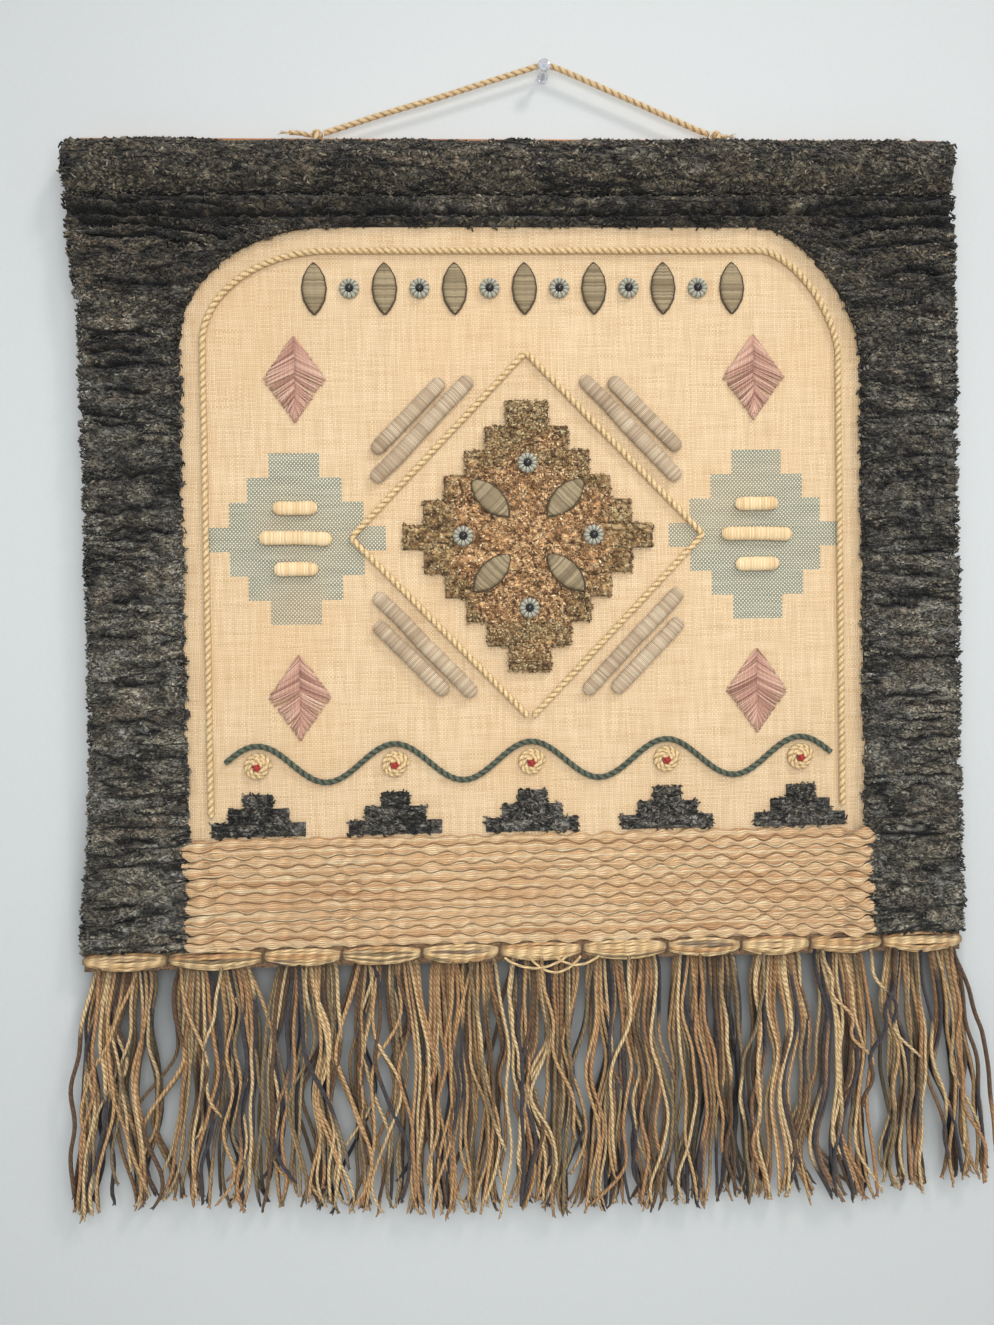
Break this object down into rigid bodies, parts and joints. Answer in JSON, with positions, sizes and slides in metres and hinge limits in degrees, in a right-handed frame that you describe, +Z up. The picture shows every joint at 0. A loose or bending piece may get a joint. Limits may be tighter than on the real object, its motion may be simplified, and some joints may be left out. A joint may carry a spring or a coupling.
{
  "type": "woven wall tapestry on a wooden slat with a hanging cord and push pin",
  "caption": "Woven wall tapestry with thick pile border, sewn-on cords and wrapped shapes, and a yarn fringe, hung from a wooden slat by a jute cord on a push pin.",
  "frame": {"origin": "point where the push pin meets the wall", "axes": "+Z up, +Y into the wall, the front of the cloth faces -Y, +X to the viewer's right"},
  "size_m": [0.7903, 0.0457, 1.0041],
  "materials": {
    "cloth": "woven wool and cotton, thick pile at the border",
    "wood": "plain planed softwood",
    "jute": "two-ply twisted jute",
    "clear_plastic": "clear, faintly blue",
    "steel": "bright",
    "fringe_yarn": "plied wool in tan, caramel, khaki and charcoal",
    "cream_yarn": "twisted cream yarn",
    "green_yarn": "twisted dark green yarn",
    "slate_yarn": "wound grey-blue yarn with a dark bead",
    "olive_yarn": "wrapped olive-brown yarn",
    "taupe_yarn": "wrapped taupe yarn",
    "rose_yarn": "laid rose stitches"
  },
  "bodies": {
    "root": {"panel": "cloth", "slat": "wood", "hanging_cord": "jute", "tie_left": "jute", "tie_right": "jute", "push_pin": "clear_plastic", "pin_point": "steel", "hem_fringe": "fringe_yarn", "frame_cord": "cream_yarn", "lozenge_cord": "cream_yarn", "wave_cord": "green_yarn", "ring_band_1": "slate_yarn", "ring_band_2": "slate_yarn", "ring_band_3": "slate_yarn", "ring_band_4": "slate_yarn", "ring_band_5": "slate_yarn", "ring_band_6": "slate_yarn", "ring_medallion_1": "slate_yarn", "ring_medallion_2": "slate_yarn", "ring_medallion_3": "slate_yarn", "ring_medallion_4": "slate_yarn", "rosette_1": "cream_yarn", "rosette_2": "cream_yarn", "rosette_3": "cream_yarn", "rosette_4": "cream_yarn", "rosette_5": "cream_yarn", "pad_band_1": "olive_yarn", "pad_band_2": "olive_yarn", "pad_band_3": "olive_yarn", "pad_band_4": "olive_yarn", "pad_band_5": "olive_yarn", "pad_band_6": "olive_yarn", "pad_band_7": "olive_yarn", "pad_medallion_1": "olive_yarn", "pad_medallion_2": "olive_yarn", "pad_medallion_3": "olive_yarn", "pad_medallion_4": "olive_yarn", "bar_taupe_1": "taupe_yarn", "bar_taupe_2": "taupe_yarn", "bar_taupe_3": "taupe_yarn", "bar_taupe_4": "taupe_yarn", "bar_taupe_5": "taupe_yarn", "bar_taupe_6": "taupe_yarn", "bar_taupe_7": "taupe_yarn", "bar_taupe_8": "taupe_yarn", "bar_cream_1": "cream_yarn", "bar_cream_2": "cream_yarn", "bar_cream_3": "cream_yarn", "bar_cream_4": "cream_yarn", "bar_cream_5": "cream_yarn", "bar_cream_6": "cream_yarn", "rose_1": "rose_yarn", "rose_2": "rose_yarn", "rose_3": "rose_yarn", "rose_4": "rose_yarn"}
  },
  "joints": []
}
